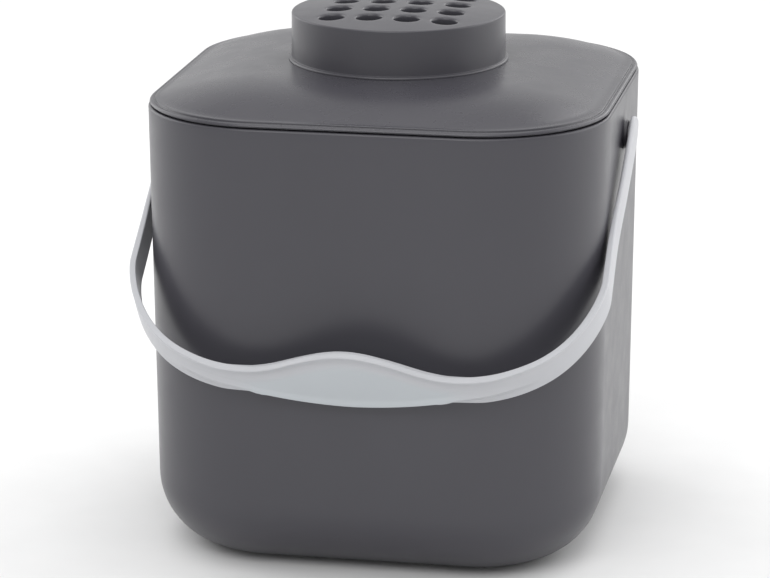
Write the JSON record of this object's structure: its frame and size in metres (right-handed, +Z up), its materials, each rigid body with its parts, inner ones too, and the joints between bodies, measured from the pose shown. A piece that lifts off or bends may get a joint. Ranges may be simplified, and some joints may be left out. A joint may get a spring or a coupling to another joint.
{
  "type": "compost caddy",
  "caption": "Square tapered compost caddy with a rear-hinged lid, a lift-off vent tower over a charcoal filter, and a swinging carry handle with a palm grip.",
  "frame": {"origin": "middle of the flat base, on the surface the caddy stands on", "axes": "+Z up; -Y is the front, where the handle hangs; +Y is the rear, where the lid hinge is; +X is the right side seen from the front"},
  "size_m": [0.2102, 0.2337, 0.232],
  "materials": {
    "bucket_plastic": "satin moulded, dark grey",
    "lid_plastic": "satin moulded, dark grey",
    "cap_plastic": "satin moulded, dark grey",
    "grille_plastic": "satin moulded, dark grey",
    "handle_plastic": "satin moulded, light grey",
    "seal_rubber": "matte",
    "carbon_foam": "open-cell carbon foam",
    "pin_steel": "drawn rod"
  },
  "bodies": {
    "bucket": {"bucket": "bucket_plastic", "hinge_pin": "pin_steel"},
    "lid": {"lid": "lid_plastic", "lid_seal": "seal_rubber", "filter_grille": "grille_plastic"},
    "filter": {"charcoal_filter": "carbon_foam"},
    "tower": {"vent_cap": "cap_plastic"},
    "handle": {"carry_handle": "handle_plastic"}
  },
  "joints": [
    {"name": "lid_hinge", "type": "hinge", "parent": "bucket", "child": "lid", "pos_m": [0, 0.105, 0.195], "axis": [-1, 0, 0], "range_deg": [0, 105]},
    {"name": "handle_swing", "type": "hinge", "parent": "bucket", "child": "handle", "pos_m": [0, 0.00318, 0.17763], "axis": [-1, 0, 0], "range_deg": [0, 250]},
    {"name": "filter_lift", "type": "slide", "parent": "lid", "child": "filter", "axis": [0, 0, 1], "range_m": [0, 0.03]},
    {"name": "tower_lift", "type": "slide", "parent": "filter", "child": "tower", "axis": [0, 0, 1], "range_m": [0, 0.05]}
  ]
}
